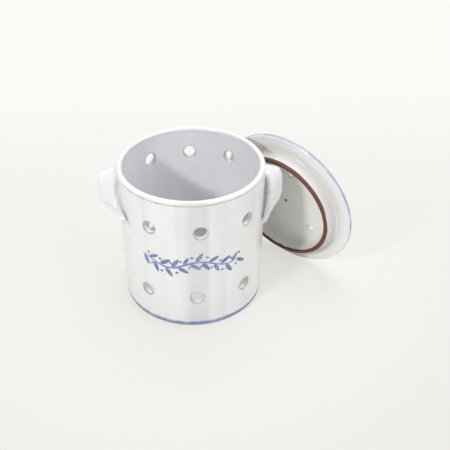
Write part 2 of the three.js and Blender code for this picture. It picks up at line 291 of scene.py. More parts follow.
def tinGlaze(name, part=None, base="white", thinness=1.0, bareBelow=None, bareTilt=0.0):
    material = newMaterial(name)
    tree = material.node_tree
    wheel = node(tree, "ShaderNodeAttribute", {"attribute_name": "wheel"})
    place = node(tree, "ShaderNodeVectorMath", {
        "operation": "SCALE",
        "Scale": 1 / mm,
    }, {0: (wheel, "Vector")})
    split = node(tree, "ShaderNodeSeparateXYZ", {}, {"Vector": (place, "Vector")})
    flat = node(tree, "ShaderNodeVectorMath", {
        "operation": "MULTIPLY",
        1: (1, 1, 0),
    }, {0: (place, "Vector")})
    length = node(tree, "ShaderNodeVectorMath", {"operation": "LENGTH"}, {0: (flat, "Vector")})
    x, y, z, radius = (split, "X"), (split, "Y"), (split, "Z"), (length, "Value")
    upright = node(tree, "ShaderNodeVectorMath", {
        "operation": "MULTIPLY",
        1: (1, 1, glaze["streakStretch"]),
    }, {0: (place, "Vector")})
    seen = {}
    for key, (size, detail, rough) in glaze["patterns"].items():
        seen[key] = node(tree, "ShaderNodeTexNoise", {
            "Scale": 1 / size,
            "Detail": detail,
            "Roughness": rough,
        }, {"Vector": (upright if key == "streaks" else place, "Vector")}), "Fac"

    # cobalt brushed on unevenly, over the share of it that a line or a stroke has
    cobalt = node(tree, "ShaderNodeMix", {
        "data_type": "RGBA",
        6: linear(glaze["cobalt"]),
        7: linear(glaze["cobaltPale"]),
    }, {0: seen["wash"]}), 2

    def loaded(share):
        return seen["wash"], 0.25, 0.75, share, share * glaze["cobaltLeast"]

    # layers of colour over the white: how much there is of each, and its colour
    layers = [(ramps(tree, (seen["clouds"], 0.45, 0.75, 0, glaze["cloudShare"])), glaze["cloud"])]
    if part == "pot":
        middle, half, floor = glaze["runMiddle"], glaze["runWidth"] / 2, glaze["insideFloor"]
        layers += [
            # darker vertical streaks: partly glaze that ran, partly painted reflection
            (ramps(tree, (seen["streaks"], 0.48, 0.64, 0, glaze["streakShare"])), glaze["streak"]),
            # a painted dark reflection down the front
            (ramps(tree,
                   (x, middle - half, middle - half / 2),
                   (x, middle + half, middle + half / 2),
                   (y, *glaze["runFront"], 0, glaze["runShare"])), glaze["run"]),
            # bluer and darker in the pot: thicker glaze, and painted shade
            (ramps(tree,
                   (radius, *glaze["insideRadii"], 0, glaze["insideShare"]),
                   (z, floor, floor + sharp)), glaze["inside"]),
            # painted shade in the groove under the lip
            (ramps(tree,
                   (z, *glaze["grooveBottom"]),
                   (z, *glaze["grooveTop"]),
                   (radius, glaze["grooveRadius"], glaze["grooveRadius"] + sharp),
                   (seen["runs"], 0.3, 0.7, 0.25, 0.8)), glaze["groove"]),
        ]

    # thin on the sharpest edges, where the clay warms it
    edge = node(tree, "ShaderNodeAttribute", {"attribute_name": "edge"})
    thin = [
        ((edge, "Fac"), glaze["thinFrom"], glaze["thinFull"], 0, glaze["thinShare"] * thinness),
        (seen["patches"], 0.3, 0.7, 0.4, 1),
    ]
    if part == "pot":
        thin.append((z, glaze["thinTop"] + sharp, glaze["thinTop"]))
    layers.append((ramps(tree, *thin), glaze["thin"]))

    specks = node(tree, "ShaderNodeTexVoronoi", {
        "Scale": 1 / glaze["speckSpacing"],
    }, {"Vector": (place, "Vector")})
    pick = node(tree, "ShaderNodeSeparateColor", {}, {"Color": (specks, "Color")})
    layers.append((ramps(tree,
                         ((specks, "Distance"), *glaze["speckRadii"], 0, glaze["speckShare"]),
                         ((pick, "Red"), glaze["speckless"], glaze["speckless"] + sharp)), glaze["speck"]))

    if part == "pot":
        # a line of cobalt round the foot, drawn with a loaded brush while the wheel turned
        top, fade = glaze["footLineTop"], glaze["footLineFade"]
        height = wandering(tree, z, seen["ragged"], glaze["footLineWander"])
        layers.append((ramps(tree,
                             (height, top + fade, top - fade),
                             (z, *glaze["footLineBottom"]),
                             (radius, glaze["footLineRadius"], glaze["footLineRadius"] + sharp),
                             loaded(glaze["footLineShare"])), cobalt))
    if part == "lid":
        turns = node(tree, "ShaderNodeTexNoise", {
            "noise_dimensions": "1D",
            "Scale": 1 / glaze["collarShadeSize"],
        }, {"W": radius})
        below, collarShade = (z, glaze["underside"] + sharp, glaze["underside"]), glaze["collarShadeShare"]
        rim = wandering(tree, radius, seen["ragged"], glaze["edgeLineWander"])
        start, fade = glaze["edgeLineFrom"], glaze["edgeLineFade"]
        layers += [
            # painted shade: greener and darker inside the collar
            (ramps(tree,
                   (radius, *glaze["recessRadii"], 0, glaze["recessShadeShare"]),
                   below), glaze["recessShade"]),
            # painted shade on the flange round the collar, in concentric bands
            (ramps(tree,
                   (radius, *glaze["collarShadeInner"]),
                   (radius, *glaze["collarShadeOuter"]),
                   below,
                   ((turns, "Fac"), 0.35, 0.65, collarShade * 0.4, collarShade)), glaze["collarShade"]),
            # the vent's bore: bare clay, painted darker as shade
            (ramps(tree, (radius, *glaze["ventShadeRadii"])), glaze["clayDark"]),
            (ramps(tree, (rim, start - fade, start + fade), loaded(glaze["edgeLineShare"])), cobalt),
        ]
    if part == "sprig":
        # brush strokes: full in the middle, ragged and pale at their edges
        stroke = node(tree, "ShaderNodeAttribute", {"attribute_name": "stroke"})
        body = wandering(tree, (stroke, "Fac"), seen["wash"], glaze["sprigWander"])
        layers.append((ramps(tree, (body, 0.15, 0.45), loaded(glaze["sprigShare"])), cobalt))

    rough = ramps(tree, (seen["runs"], 0.3, 0.7, glaze["glossRough"], glaze["dullRough"]))
    if bareBelow is not None:
        # bare clay, wiped clean so that the piece wouldn't stick in the kiln, further up on one side
        wiped, fade = wandering(tree, z, seen["ragged"], glaze["clayWander"]), glaze["clayFade"]
        further = ramps(tree, (y, *glaze["clayTilt"], 0, -bareTilt))
        height = node(tree, "ShaderNodeMath", {"operation": "ADD"}, {0: wiped, 1: further}), "Value"
        bare = ramps(tree, (height, bareBelow + fade, bareBelow - fade))
        clay = node(tree, "ShaderNodeMix", {
            "data_type": "RGBA",
            6: linear(glaze["clayDark"]),
            7: linear(glaze["clay"]),
        }, {0: seen["grit"]}), 2
        layers.append((bare, clay))
        rough = node(tree, "ShaderNodeMix", {
            "data_type": "FLOAT",
            3: glaze["clayRough"],
        }, {0: bare, 2: rough}), 0

    colour = node(tree, "ShaderNodeMix", {
        "data_type": "RGBA",
        6: linear(glaze[base]),
        7: linear(glaze["milk"]),
    }, {0: seen["patches"]}), 2
    for share, over in layers:
        settings, links = {"data_type": "RGBA"}, {0: share, 6: colour}
        if isinstance(over, str):
            settings[7] = linear(over)
        else:
            links[7] = over
        colour = node(tree, "ShaderNodeMix", settings, links), 2

    rings = node(tree, "ShaderNodeTexWave", {
        "bands_direction": "Z",
        "Scale": 2 * math.pi / (20 * glaze["ringPitch"]),
        "Distortion": 1.6,
        "Detail": 2.0,
        "Detail Scale": 0.6,
    }, {"Vector": (place, "Vector")}), "Fac"
    bump = {}
    for height, key in ((rings, "ringBump"), (seen["runs"], "runBump"), (seen["peel"], "peelBump")):
        strength, depth = glaze[key]
        raised = node(tree, "ShaderNodeBump", {
            "Strength": strength,
            "Distance": depth * mm,
        }, {"Height": height, **bump})
        bump = {"Normal": (raised, "Normal")}

    shader = node(tree, "ShaderNodeBsdfPrincipled", {"IOR": 1.52, "Metallic": 0.0}, {
        "Base Color": colour,
        "Roughness": rough,
        **bump,
    })
    node(tree, "ShaderNodeOutputMaterial", {}, {"Surface": (shader, "BSDF")})

    # the nodes that this piece has no use for come out again
    def looseNodes():
        return [n for n in tree.nodes if n.outputs and not any(output.links for output in n.outputs)]

    while looseNodes():
        for unused in looseNodes():
            tree.nodes.remove(unused)
    return material


potFinish = tinGlaze("White tin glaze on the thrown pot", "pot", bareBelow=0.7)
# the handles' white is greyer: painted shade
handleFinish = tinGlaze("White tin glaze on pulled handles", base="pulled", thinness=0.15)
lidFinish = tinGlaze(
    "White tin glaze on the lid, bare clay on its collar", "lid", bareBelow=-15.1, bareTilt=1.8)
knobFinish = tinGlaze("White tin glaze on the knob")
sprigFinish = tinGlaze("Cobalt brush strokes in the glaze", "sprig")
print("glazes made")


# Air holes: a wall is rolled out flat, hole tiles are laid in the gaps left for them, and the sheet is
# bent round

# The grid points round a square tile, counter-clockwise from the middle of its right side
def squareRing(n):
    ring = []
    for j in range(8 * n):
        if j <= n:
            ring.append((n, j))
        elif j <= 3 * n:
            ring.append((2 * n - j, n))
        elif j <= 5 * n:
            ring.append((-n, 4 * n - j))
        elif j <= 7 * n:
            ring.append((j - 6 * n, -n))
        else:
            ring.append((n, j - 8 * n))
    return np.array(ring, float)


# A square piece of wall with a round, soft-edged hole: X along the wall, Y through it
def holeTile(name, cells, cellX, cellZ, radius, rounding, front, back):
    square = squareRing(cells) * (cellX, cellZ)
    angles = np.linspace(0, 2 * math.pi, len(square), endpoint=False)
    circle = np.stack([np.cos(angles), np.sin(angles)], 1)
    inward = 1 if back > front else -1
    rings = [square, square * 0.45 + circle * (radius + rounding + 1.2) * 0.55]
    depths = [front, front]
    for turn in (0, 25, 50, 72, 90):
        t = math.radians(turn)
        rings.append(circle * (radius + rounding * (1 - math.sin(t))))
        depths.append(front + inward * rounding * (1 - math.cos(t)))
    rings = rings + [rings[-1]] + rings[::-1]
    depths = depths + [(front + back) / 2] + [front + back - d for d in depths[::-1]]
    points = [(p[0] * mm, d * mm, p[1] * mm) for ring, d in zip(rings, depths) for p in ring]
    return meshObject(name, points, ringFaces(len(rings), len(square)))


# The wall rolled out flat from its profile of (depth, height), with cells left out for the tiles
def flatSheet(name, columns, cell, profile, leftOut, closed=False):
    rows = len(profile)
    points = [(i * cell * mm, y * mm, z * mm) for y, z in profile for i in range(columns + 1)]
    faces = []
    for r in range(rows if closed else rows - 1):
        s = (r + 1) % rows
        for i in range(columns):
            if (r, i) not in leftOut:
                a, b = r * (columns + 1) + i, s * (columns + 1) + i
                faces.append((a, a + 1, b + 1, b))
    return meshObject(name, points, faces)


# An empty Geometry Nodes tree with named inputs
def newTree(name, inputs):
    tree = bpy.data.node_groups.new(name, "GeometryNodeTree")
    for label, kind in [("Geometry", "Geometry")] + inputs:
        tree.interface.new_socket(label, in_out="INPUT", socket_type="NodeSocket" + kind)
    tree.interface.new_socket("Geometry", in_out="OUTPUT", socket_type="NodeSocketGeometry")
    return tree, node(tree, "NodeGroupInput")


# Lays rows of hole tiles on the flat sheet and joins them to it
def airHoleTree(name, rowCount):
    inputs = [("Hole tile", "Object"), ("Holes per row", "Int"), ("Join distance", "Float")]
    for row in range(rowCount):
        inputs += [(f"Row {row + 1} start", "Vector"), (f"Row {row + 1} spacing", "Float")]
    tree, given = newTree(name, inputs + [("Finish", "Material")])
    tile = node(tree, "GeometryNodeObjectInfo", {
        "transform_space": "ORIGINAL",
    }, {"Object": (given, "Hole tile")})
    joined = node(tree, "GeometryNodeJoinGeometry", {}, {"Geometry": (given, "Geometry")})
    for row in range(rowCount):
        step = node(tree, "ShaderNodeCombineXYZ", {}, {"X": (given, f"Row {row + 1} spacing")})
        line = node(tree, "GeometryNodeMeshLine", {"mode": "OFFSET"}, {
            "Count": (given, "Holes per row"),
            "Start Location": (given, f"Row {row + 1} start"),
            "Offset": (step, "Vector"),
        })
        placed = node(tree, "GeometryNodeInstanceOnPoints", {}, {
            "Points": (line, "Mesh"),
            "Instance": (tile, "Geometry"),
        })
        tree.links.new(placed.outputs["Instances"], joined.inputs["Geometry"])
    real = node(tree, "GeometryNodeRealizeInstances", {}, {"Geometry": (joined, "Geometry")})
    merged = node(tree, "GeometryNodeMergeByDistance", {}, {
        "Geometry": (real, "Geometry"),
        "Distance": (given, "Join distance"),
    })
    glazed = node(tree, "GeometryNodeSetMaterial", {}, {
        "Geometry": (merged, "Geometry"),
        "Material": (given, "Finish"),
    })
    node(tree, "NodeGroupOutput", {}, {"Geometry": (glazed, "Geometry")})
    return tree


# Runs a Geometry Nodes tree on an object and keeps the result as its plain mesh
def runTree(piece, tree, values):
    modifier = piece.modifiers.new("Nodes", "NODES")
    modifier.node_group = tree
    for item in tree.interface.items_tree:
        if item.item_type == "SOCKET" and item.in_out == "INPUT" and item.name in values:
            modifier[item.identifier] = values[item.name]
    bpy.context.view_layer.update()
    seen = piece.evaluated_get(bpy.context.evaluated_depsgraph_get())
    mesh = bpy.data.meshes.new_from_object(seen)
    piece.modifiers.clear()
    piece.data = mesh
    return mesh


pot = {
    "columns": 120,  # round the wall, 3 degrees each
    "radius": 90.0,
    "wall": 7.0,
    "rowPitch": 4.8,
    "firstRow": 34.6,  # the plain wall's lowest and highest grid rows
    "lastRow": 169.0,
    "holeRadius": 8.0,
    "holeRounding": 2.0,
    "blockCells": 3,  # grid cells from a hole's middle to the edge of its tile
    "holeRows": [  # degrees round the pot, and the row's height
        {"middle": -86.0, "spacing": 40.2, "height": 143.6},
        {"middle": -89.7, "spacing": 41.5, "height": 47.1},
        {"middle": 89.3, "spacing": 38.0, "height": 152.0},
        {"middle": 90.0, "spacing": 39.0, "height": 49.0},
    ],
    "holesPerRow": 3,
    "holeSkew": 0.02,  # how much wider or taller a hole is, as a share
    "holeStill": 9.5,  # the wall moves with a hole whole within this radius, and not at all past the next
    "holeGive": 19.5,
    "ringPitch": 16.0,  # broad rises left by the hands, the finger rings are in the glaze
    "ringDepth": 0.14,
    "outOfRound": 0.15,
    "rimSag": 0.5,
    "seed": 3,
}


# The uneven shape of a thrown wall: how far a point moves in and down
def thrownUnevenness(angle, z):
    plain = smoothStep(z, 0.02, 0.03) * (1 - smoothStep(z, 0.164, 0.170))
    turn = 2 * math.pi * z / (pot["ringPitch"] * mm)
    rings = np.sin(turn + 0.7 * np.sin(angle + 1) + angle)
    rings = rings + 0.6 * np.sin(turn / 1.7 - 0.5 * np.sin(2 * angle))
    inward = plain * pot["ringDepth"] * mm * (1.6 - rings) * 0.6
    inward = inward + pot["outOfRound"] * mm * (1 + np.sin(2 * angle + 0.6)) * smoothStep(z, 0.02, 0.15)
    down = 0.5 * pot["rimSag"] * mm * (1 + np.sin(2 * angle + 2.2)) * smoothStep(z, 0.12, 0.187)
    return inward, down


def potProfile(wallRows):
    outer, inner = pot["radius"], pot["radius"] - pot["wall"]
    foot = [(2, 1.2), (20, 1.2), (45, 1.2), (66, 1.1), (76, 0.9), (79.5, 0.25), (81, 0), (85.5, 0)]
    foot += [(87.2, 0.12)] + arc((87, 2), 2, -60, 0, 3)
    foot += [(89.15, 6), (89.3, 11), (89.5, 17), (89.7, 22.5), (89.9, 28.5)]
    band = [(89.96, 169.7), (89.6, 170.3), (89.5, 171.1), (89.64, 172.1), (89.42, 173.2), (89.62, 174.3)]
    band += [(89.42, 175.4), (89.6, 176.5), (89.42, 177.6), (89.6, 178.8), (89.5, 179.8), (89.25, 180.6)]
    band += [(88.8, 181.2), (89.05, 181.8), (89.75, 182.2)]
    lip = arc((86.5, 183.5), 3.5, 0, 180, 9)
    throat = [(83.0, 181.4), (83.3, 179.8), (82.95, 178.2), (83.0, 175.5), (83.0, 172.0)]
    corner = [(83, 29), (83, 23)] + arc((73, 18), 10, 0, -90, 5)
    bottom = [(64, 8.1), (55, 7.9), (46, 8.1), (37, 7.9), (28, 8.1), (19, 7.9), (10, 8.15), (2, 8.0)]
    outside = foot + [(outer, z) for z in wallRows]
    inside = [(inner, z) for z in wallRows[::-1]]
    firstInner = len(outside + band + lip + throat)
    return outside + band + lip + throat + inside + corner + bottom, len(foot), firstInner


def makePot():
    columns = pot["columns"]
    cell = 2 * math.pi * pot["radius"] / columns
    count = round((pot["lastRow"] - pot["firstRow"]) / pot["rowPitch"])
    wallRows = [pot["firstRow"] + k * pot["rowPitch"] for k in range(count + 1)]
    profile, firstOuter, firstInner = potProfile(wallRows)
    values, leftOut, holes, n = {}, set(), [], pot["blockCells"]
    for number, row in enumerate(pot["holeRows"]):
        # the tiles lie on the grid, as near as it lets them to the holes' true places
        k = round((row["height"] - pot["firstRow"]) / pot["rowPitch"])
        step = round(row["spacing"] * columns / 360)
        first = round((row["middle"] + 180) * columns / 360 - step * (pot["holesPerRow"] - 1) / 2)
        tileHeight = pot["firstRow"] + k * pot["rowPitch"]
        values[f"Row {number + 1} start"] = Vector((first * cell * mm, 0, tileHeight * mm))
        values[f"Row {number + 1} spacing"] = step * cell * mm
        for h in range(pot["holesPerRow"]):
            c = first + h * step
            turn = row["middle"] + (h - (pot["holesPerRow"] - 1) / 2) * row["spacing"] + 180
            trueX = math.radians(turn) * pot["radius"]
            holes.append((c * cell * mm, tileHeight * mm, trueX * mm, row["height"] * mm))
            for i in range(-n, n):
                for j in range(-n, n):
                    leftOut.add((firstOuter + k + j, c + i))
                    leftOut.add((firstInner + count - k - 1 - j, c + i))
    piece = flatSheet("thrown_pot", columns, cell, profile, leftOut)
    tile = holeTile(
        "pot_tile", n, cell, pot["rowPitch"], pot["holeRadius"], pot["holeRounding"],
        pot["radius"], pot["radius"] - pot["wall"])
    values.update({
        "Hole tile": tile,
        "Holes per row": pot["holesPerRow"],
        "Join distance": joinDistance,
        "Finish": potFinish,
    })
    mesh = runTree(piece, airHoleTree("Air holes in the wall", len(pot["holeRows"])), values)
    bpy.data.objects.remove(tile)

    # each hole was cut by hand: it goes to its own place and is a little out of round
    x, y, z = pointsOf(mesh).T
    chance = np.random.default_rng(pot["seed"])
    for tileX, tileZ, trueX, trueZ in holes:
        fromX, fromZ = x - tileX, z - tileZ
        near = 1 - smoothStep(np.hypot(fromX, fromZ), pot["holeStill"] * mm, pot["holeGive"] * mm)
        stretch = chance.normal(0, pot["holeSkew"], 2)
        x = x + near * (trueX - tileX + fromX * stretch[0])
        z = z + near * (trueZ - tileZ + fromZ * stretch[1])
    angle = x / (pot["radius"] * mm) - math.pi
    inward, down = thrownUnevenness(angle, z)
    y = y - inward * smoothStep(y, 0.070, 0.075)
    setPoints(mesh, np.stack([y * np.cos(angle), y * np.sin(angle), z - down], 1))
    closeUp(mesh)
    finishPiece(piece, potFinish, "pot", ["pot_body"])
    return piece


potPiece = makePot()
print("pot made:", len(potPiece.data.polygons), "faces")


handle = {
    "rootWidth": 20.0,
    "rootThickness": 8.0,
    "middleWidth": 28.5,
    "middleThickness": 11.0,
    "tailWidth": 17.0,
    "tailThickness": 7.0,
    "bendRadius": 7.5,
    "tailSlope": 0.3,  # how much further forward the pressed tail gets for each millimetre down
    "middleStart": 0.25,  # shares of its length between which it is thick and wide
    "middleEnd": 0.52,
    "tailStart": 0.88,
    "squareness": 0.7,  # 1 is an oval, 0 a rectangle
    "rootDepth": 8.0,  # how far the path runs on inside the wall
    "wallDepth": 3.2,  # how far into the wall the clay is pressed
    "sinking": 6.9,  # how far the tail goes down into the wall where it is smeared on
    "flare": 2.6,  # how much wider the clay spreads where it was pressed on
    "flareReach": 2.6,
    "groove": 0.16,  # lengthwise furrows from pulling
    "slack": 0.3,  # how much slimmer the furrowed clay is than the plain strap
    "rings": 100,
    "sectionPoints": 40,
    "seed": 4,
    "sides": {
        "right": {
            "azimuth": 0,
            "top": 168,  # heights of its root and its tail
            "tail": 115,
            "drop": 31,  # from the root to where the strap turns back to the wall
            "pressed": 4,  # length of the tail that lies on the wall
            "lean": 32,  # how far forward of the root the tail ends
            "reach": 6.6,  # between the wall and the strap
            "twist": 42,  # degrees that it faces to the front
        },
        "left": {
            "azimuth": 180,
            "top": 172,
            "tail": 131,
            "drop": 26.5,
            "pressed": 6,
            "lean": 41,
            "reach": 6,
            "twist": 53,
        },
    },
}


# Points along a smooth curve through the given ones, with their shares of its length
def smoothPath(corners, steps=40):
    p = np.array(corners, float)
    p = np.vstack([2 * p[0] - p[1], p, 2 * p[-1] - p[-2]])
    found = []
    for i in range(1, len(p) - 2):
        d = [np.linalg.norm(p[k + 1] - p[k]) ** 0.5 for k in (i - 1, i, i + 1)]
        leave = (p[i] - p[i - 1]) / d[0] - (p[i + 1] - p[i - 1]) / (d[0] + d[1]) + (p[i + 1] - p[i]) / d[1]
        enter = (p[i + 1] - p[i]) / d[1] - (p[i + 2] - p[i]) / (d[1] + d[2]) + (p[i + 2] - p[i + 1]) / d[2]
        leave, enter = leave * d[1], enter * d[1]
        bend = -3 * p[i] + 3 * p[i + 1] - 2 * leave - enter
        turn = 2 * p[i] - 2 * p[i + 1] + leave + enter
        for t in np.linspace(0, 1, steps, endpoint=False):
            found.append(p[i] + leave * t + bend * t ** 2 + turn * t ** 3)
    found = np.array(found + [p[-2]])
    travelled = np.concatenate([[0], np.cumsum(np.linalg.norm(np.diff(found, axis=0), axis=1))])
    return found, travelled / travelled[-1]


def handlePath(side):
    deep = pot["radius"] - handle["rootDepth"]
    far = pot["radius"] + side["reach"] + handle["middleThickness"] / 2
    onWall = pot["radius"] + handle["tailThickness"] / 2
    bend, top, tail = handle["bendRadius"], side["top"], side["tail"]
    corner, landing = top - side["drop"], tail + side["pressed"]
    front = -1 if side["azimuth"] == 0 else 1

    # distance from the pot's axis, share of the lean, and height
    path = [
        (deep, 0, top),
        (far - bend, 0, top),
        (far - bend * 0.3, 0.05, top - bend * 0.3),
        (far, 0.2, top - bend),
        (far - bend * 0.1, 0.6, corner + bend * 0.4),
        (far + (onWall - far) * 0.65, 0.8, (corner + landing) / 2),
        (onWall, 1 - handle["tailSlope"] * side["pressed"] / side["lean"], landing),
        (onWall - handle["sinking"] * 0.12, 0.94, tail + 4),
        (onWall - handle["sinking"], 1, tail - 3),
    ]
    forward = [share * side["lean"] for radius, share, height in path]
    return smoothPath([
        (math.sqrt(radius ** 2 - y ** 2), front * y, height)
        for (radius, share, height), y in zip(path, forward)])


# A value along the strap: from the root to the middle, and on to the tail
def alongStrap(share, root, middle, tail):
    toMiddle = smoothStep(share, 0, handle["middleStart"])
    toTail = smoothStep(share, handle["middleEnd"], handle["tailStart"])
    return root + (middle - root) * toMiddle + (tail - middle) * toTail


def makeHandle(name, side):
    path, shares = handlePath(side)
    inWall = np.hypot(path[:, 0], path[:, 1]) < pot["radius"] - handle["wallDepth"]
    outside = np.nonzero(~inWall)[0]
    rings, count = handle["rings"], handle["sectionPoints"]
    along = np.linspace(shares[outside[0]], shares[outside[-1]], rings)
    centre = np.stack([np.interp(along, shares, path[:, k]) for k in range(3)], 1)
    tangent = np.gradient(centre, axis=0)
    tangent = tangent / np.linalg.norm(tangent, axis=1)[:, None]
    front = -1 if side["azimuth"] == 0 else 1
    turn = alongStrap(along, 0, math.radians(side["twist"]), math.asin(side["lean"] / pot["radius"]))
    across = np.stack([-front * np.sin(turn), np.cos(turn), np.zeros(rings)], 1)
    outward = np.cross(across, tangent)
    outward = outward / np.linalg.norm(outward, axis=1)[:, None]

    # the clay spreads where its root meets the wall, more to its sides than across its thickness
    offWall = np.maximum(np.hypot(centre[:, 0], centre[:, 1]) - pot["radius"], 0)
    spread = handle["flare"] * np.exp(-(offWall / handle["flareReach"]) ** 1.5) * (along < 0.5)
    wide, thick = [
        [handle[part + kind] for part in ("root", "middle", "tail")] for kind in ("Width", "Thickness")]
    halfWidth = alongStrap(along, *wide) / 2 + spread
    halfThickness = alongStrap(along, *thick) / 2 + spread * 0.5

    chance = np.random.default_rng(handle["seed"] + side["azimuth"])
    angles = np.linspace(0, 2 * math.pi, count, endpoint=False)
    squareness = handle["squareness"]
    furrows = np.full((rings, count), -handle["slack"])
    for k in range(3, 8):
        phase = chance.uniform(0, 6) + 0.8 * along[:, None]
        furrows = furrows + chance.normal(0, handle["groove"]) * np.cos(k * angles[None, :] + phase)
    sides = np.sign(np.cos(angles)) * np.abs(np.cos(angles)) ** squareness
    rises = np.sign(np.sin(angles)) * np.abs(np.sin(angles)) ** squareness
    bumps = -np.abs(np.interp(along, np.linspace(0, 1, 12), chance.normal(0, 0.3, 12)))
    widths = (halfWidth + bumps)[:, None] * sides[None, :] + furrows * np.cos(angles)
    thicknesses = (halfThickness + bumps * 0.5)[:, None] * rises[None, :] + furrows * np.sin(angles)
    points = centre[:, None, :] + widths[:, :, None] * across[:, None, :]
    points = (points + thicknesses[:, :, None] * outward[:, None, :]).reshape(-1, 3) * mm
    turned = np.array(Matrix.Rotation(math.radians(side["azimuth"]), 3, "Z"))
    piece = meshObject(name, points @ turned.T, ringFaces(rings, count))
    closeUp(piece.data)
    return piece


for sideName, side in handle["sides"].items():
    strap = makeHandle("pulled_handle_" + sideName, side)
    finishPiece(strap, handleFinish, "pot", ["handle_" + sideName])
print("handles made")


lid = {
    "columns": 120,
    "facing": -134.5,  # direction in which its underside looks, degrees from X
    "lean": 8.8,  # degrees from upright
    "standOff": 114.56,
    "sideShift": 63.7,
    "radius": 99.5,
    "thickness": 6.5,
    "rise": 3.5,  # of the dome in the middle
    "domePower": 2.4,
    "flatTop": 69.0,  # the top is drawn flat within this radius, and domed once it is rolled
    "plateUnderside": 0.4,
    "collarDepth": 17.5,
    "collarRadius": 76.0,
    "collarWall": 6.3,
    "rounding": 5.0,
    "flangeDip": 1.2,
    "ventRadius": 1.3,
    "ventRounding": 0.6,
    "holeRadius": 5.0,
    "holeRounding": 1.1,
    "holeCircle": 49.0,
    "firstHole": 99.5,  # degrees from the lid's own X
    "holes": 3,
    "holeStill": 6.5,  # a hole is kept round within this radius, and not at all past the next
    "holeGive": 10.5,
    "blockCells": 3,
    "outOfRound": 0.3,
    "ringPitch": 9.0,
    "ringDepth": 0.2,
}


# The lid's own directions and middle: X across it, Y up along it, Z out of its top
def lidPlace():
    facing, lean = math.radians(lid["facing"]), math.radians(lid["lean"])
    looking = Vector((math.cos(facing), math.sin(facing), 0))
    across = Vector((-looking.y, looking.x, 0))
    underside = looking * math.cos(lean) - Vector((0, 0, math.sin(lean)))
    along = underside.cross(across)
    edge = lid["thickness"] / 2
    height = (lid["radius"] - edge) * math.cos(lean) + edge - edge * math.sin(lean)
    centre = across * lid["sideShift"] - looking * lid["standOff"] + Vector((0, 0, height))
    axes = Matrix((-across, along, -underside)).transposed().to_4x4()
    return Matrix.Translation(centre * mm) @ axes


# The domed top's height at a radius
def lidDome(radius):
    share = np.minimum(radius / (lid["radius"] - lid["thickness"] / 2), 1)
    return lid["thickness"] + lid["rise"] * (1 - share ** lid["domePower"])


def makeLid():
    columns, n = lid["columns"], lid["blockCells"]
    cell = 2 * math.pi * lid["holeCircle"] / columns
    low, high = lid["plateUnderside"], lid["thickness"] + lid["rise"]
    rows = [lid["holeCircle"] + k * cell for k in range(-n, n + 1)]
    collarInside = lid["collarRadius"] - lid["collarWall"]
    collarEnd = lid["collarWall"] / 2
    edge, rounding = lid["thickness"] / 2, lid["rounding"]
    vent, soft = lid["ventRadius"], lid["ventRounding"]
    under = [(vent, low + soft), (vent + 0.3 * soft, low + 0.3 * soft), (vent + soft, low)]
    under += [(r, low) for r in (6, 12, 18.5, 25, 31, 36.4)]
    firstUnder = len(under)
    under += [(r, low) for r in rows] + [(60.6, low)]
    under += arc((collarInside - rounding, low - rounding), rounding, 90, 0, 4)
    under += [(collarInside, -5.5), (collarInside, -10)]
    under += arc((lid["collarRadius"] - collarEnd, collarEnd - lid["collarDepth"]), collarEnd, 180, 360, 8)
    under += [(lid["collarRadius"], -10.5), (lid["collarRadius"], -7)]
    flange = rounding - lid["flangeDip"]
    under += arc((lid["collarRadius"] + rounding, -flange), rounding, 180, 90, 4)
    under += [(84.5, 1.0), (88, 0.6), (92, 0.25)]
    under += arc((lid["radius"] - edge, edge), edge, -90, 90, 8)
    top = [(r, float(lidDome(r))) for r in (94, 91, 88, 85, 82, 79, 76, 73, 69.5)]
    top += [(65, high), (60.6, high)]
    firstTop = len(under) + len(top)
    top += [(r, high) for r in rows[::-1]] + [(r, high) for r in (36.4, 31, 25, 18.5, 12, 6)]
    top += [(vent + soft, high), (vent + 0.3 * soft, high - 0.3 * soft), (vent, high - soft)]
    profile = [(h, r) for r, h in under + top]
    step = columns // lid["holes"]
    leftOut = set()
    for h in range(lid["holes"]):
        for i in range(-n, n):
            for j in range(2 * n):
                leftOut.add((firstUnder + j, step // 2 + h * step + i))
                leftOut.add((firstTop + j, step // 2 + h * step + i))
    piece = flatSheet("thrown_lid", columns, cell, profile, leftOut, closed=True)
    tile = holeTile("lid_tile", n, cell, cell, lid["holeRadius"], lid["holeRounding"], low, high)
    mesh = runTree(piece, airHoleTree("Air holes in the lid", 1), {
        "Hole tile": tile,
        "Holes per row": lid["holes"],
        "Join distance": joinDistance,
        "Finish": lidFinish,
        "Row 1 start": Vector((step // 2 * cell * mm, 0, lid["holeCircle"] * mm)),
        "Row 1 spacing": step * cell * mm,
    })
    bpy.data.objects.remove(tile)

    # rolled round its own axis, with the holes kept round and the top domed
    x, h, r = pointsOf(mesh).T / mm
    firstAngle = math.radians(lid["firstHole"]) - step / 2 * cell / lid["holeCircle"]
    angle = firstAngle + x / lid["holeCircle"]
    for k in range(lid["holes"]):
        middle = (step // 2 + k * step) * cell
        away = np.hypot(x - middle, r - lid["holeCircle"])
        near = 1 - smoothStep(away, lid["holeStill"], lid["holeGive"])
        true = firstAngle + middle / lid["holeCircle"] + (x - middle) / np.maximum(r, 1)
        angle = angle + near * (true - angle)
    domed = low + (h - low) * (lidDome(r) - low) / (high - low)
    h = np.where((r < lid["flatTop"]) & (h > low), domed, h)
    rings = np.sin(2 * math.pi * r / lid["ringPitch"] + angle) * lid["ringDepth"] * smoothStep(r, 6, 12)
    h = h + rings * (1 - smoothStep(r, 90, 96))
    r = r - lid["outOfRound"] * (1 + np.sin(2 * angle + 1.1)) * 0.5 * smoothStep(r, 60, 96)
    setPoints(mesh, np.stack([r * np.cos(angle), r * np.sin(angle), h], 1) * mm)
    closeUp(mesh)
    finishPiece(piece, lidFinish, "lid", ["lid"], lidPlace())
    return piece


lidPiece = makeLid()
print("lid made:", len(lidPiece.data.polygons), "faces")


